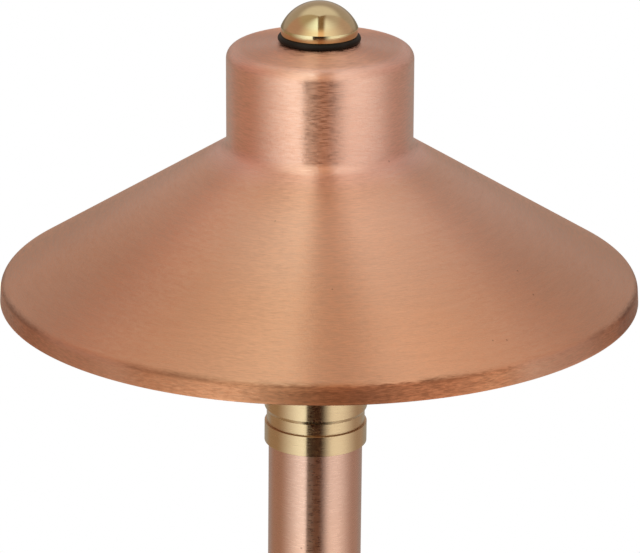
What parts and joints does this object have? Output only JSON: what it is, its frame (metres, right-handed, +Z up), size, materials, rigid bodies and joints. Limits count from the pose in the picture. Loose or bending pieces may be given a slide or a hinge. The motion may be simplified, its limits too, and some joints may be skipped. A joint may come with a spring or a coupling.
{
  "type": "path light",
  "caption": "Low-voltage path light: wide conical spun copper hat with a cylindrical crown and brass dome knob, over a frosted lens on a brass housing, copper stem and ground stake.",
  "frame": {"origin": "on the lamp's axis at ground level, in the plane of the stake flange's underside", "axes": "+Z up along the stem, -Y towards the front, +X to the right seen from the front"},
  "size_m": [0.1778, 0.1778, 0.8428],
  "materials": {
    "hat_copper": "brushed copper",
    "stem_copper": "brushed copper",
    "polished_brass": "polished brass",
    "turned_brass": "fine turned brass",
    "plain_brass": "machined brass",
    "steel": "stainless steel",
    "black_rubber": "matt black rubber",
    "silicone": "translucent silicone",
    "frosted_glass": "frosted glass",
    "ceramic": "white ceramic",
    "lamp_plastic": "white plastic",
    "light_chip": "yellow light chips",
    "clear_cover": "clear plastic",
    "lead_insulation": "black insulation",
    "splice_sleeve": "blue nylon sleeve",
    "stake_plastic": "black moulded plastic"
  },
  "bodies": {
    "base": {"ground_stake": "stake_plastic", "stem_base": "turned_brass", "stem": "stem_copper", "stem_collar": "turned_brass", "lamp_housing": "turned_brass", "lens_posts": "plain_brass", "socket_plate": "steel", "plate_screws": "steel", "lamp_socket": "ceramic", "socket_contacts": "plain_brass", "socket_screws": "steel", "socket_nuts": "steel", "lead_grommet": "black_rubber", "socket_leads": "lead_insulation", "lead_splices": "splice_sleeve"},
    "lamp": {"lamp_base": "lamp_plastic", "lamp_pins": "steel", "lamp_core": "ceramic", "led_chips": "light_chip", "lamp_cover": "clear_cover"},
    "lens_unit": {"lens_bottom_gasket": "silicone", "lens": "frosted_glass", "lens_top_gasket": "silicone"},
    "cap_unit": {"lens_cap": "plain_brass", "cap_screws": "steel", "hat_stud": "plain_brass", "hat_washer": "silicone"},
    "hat_body": {"hat": "hat_copper"},
    "knob_seal": {"knob_o_ring": "black_rubber"},
    "knob_body": {"knob": "polished_brass"}
  },
  "joints": [
    {"name": "lamp_pull", "type": "slide", "parent": "base", "child": "lamp", "axis": [0, 0, 1], "range_m": [0, 0.02]},
    {"name": "lens_lift", "type": "slide", "parent": "base", "child": "lens_unit", "axis": [0, 0, 1], "range_m": [0, 0.06]},
    {"name": "cap_lift", "type": "slide", "parent": "lens_unit", "child": "cap_unit", "axis": [0, 0, 1], "range_m": [0, 0.03]},
    {"name": "hat_lift", "type": "slide", "parent": "cap_unit", "child": "hat_body", "axis": [0, 0, 1], "range_m": [0, 0.09]},
    {"name": "knob_rise", "type": "slide", "parent": "hat_body", "child": "knob_seal", "axis": [0, 0, 1], "range_m": [0, 0.00794]},
    {"name": "knob_turn", "type": "hinge", "parent": "knob_seal", "child": "knob_body", "pos_m": [0, 0, 0.58355], "axis": [0, 0, 1], "range_deg": [0, 2251]}
  ],
  "couplings": [
    {"joint": "knob_turn", "follows": "knob_rise", "rad_per_m": 4947.4}
  ]
}
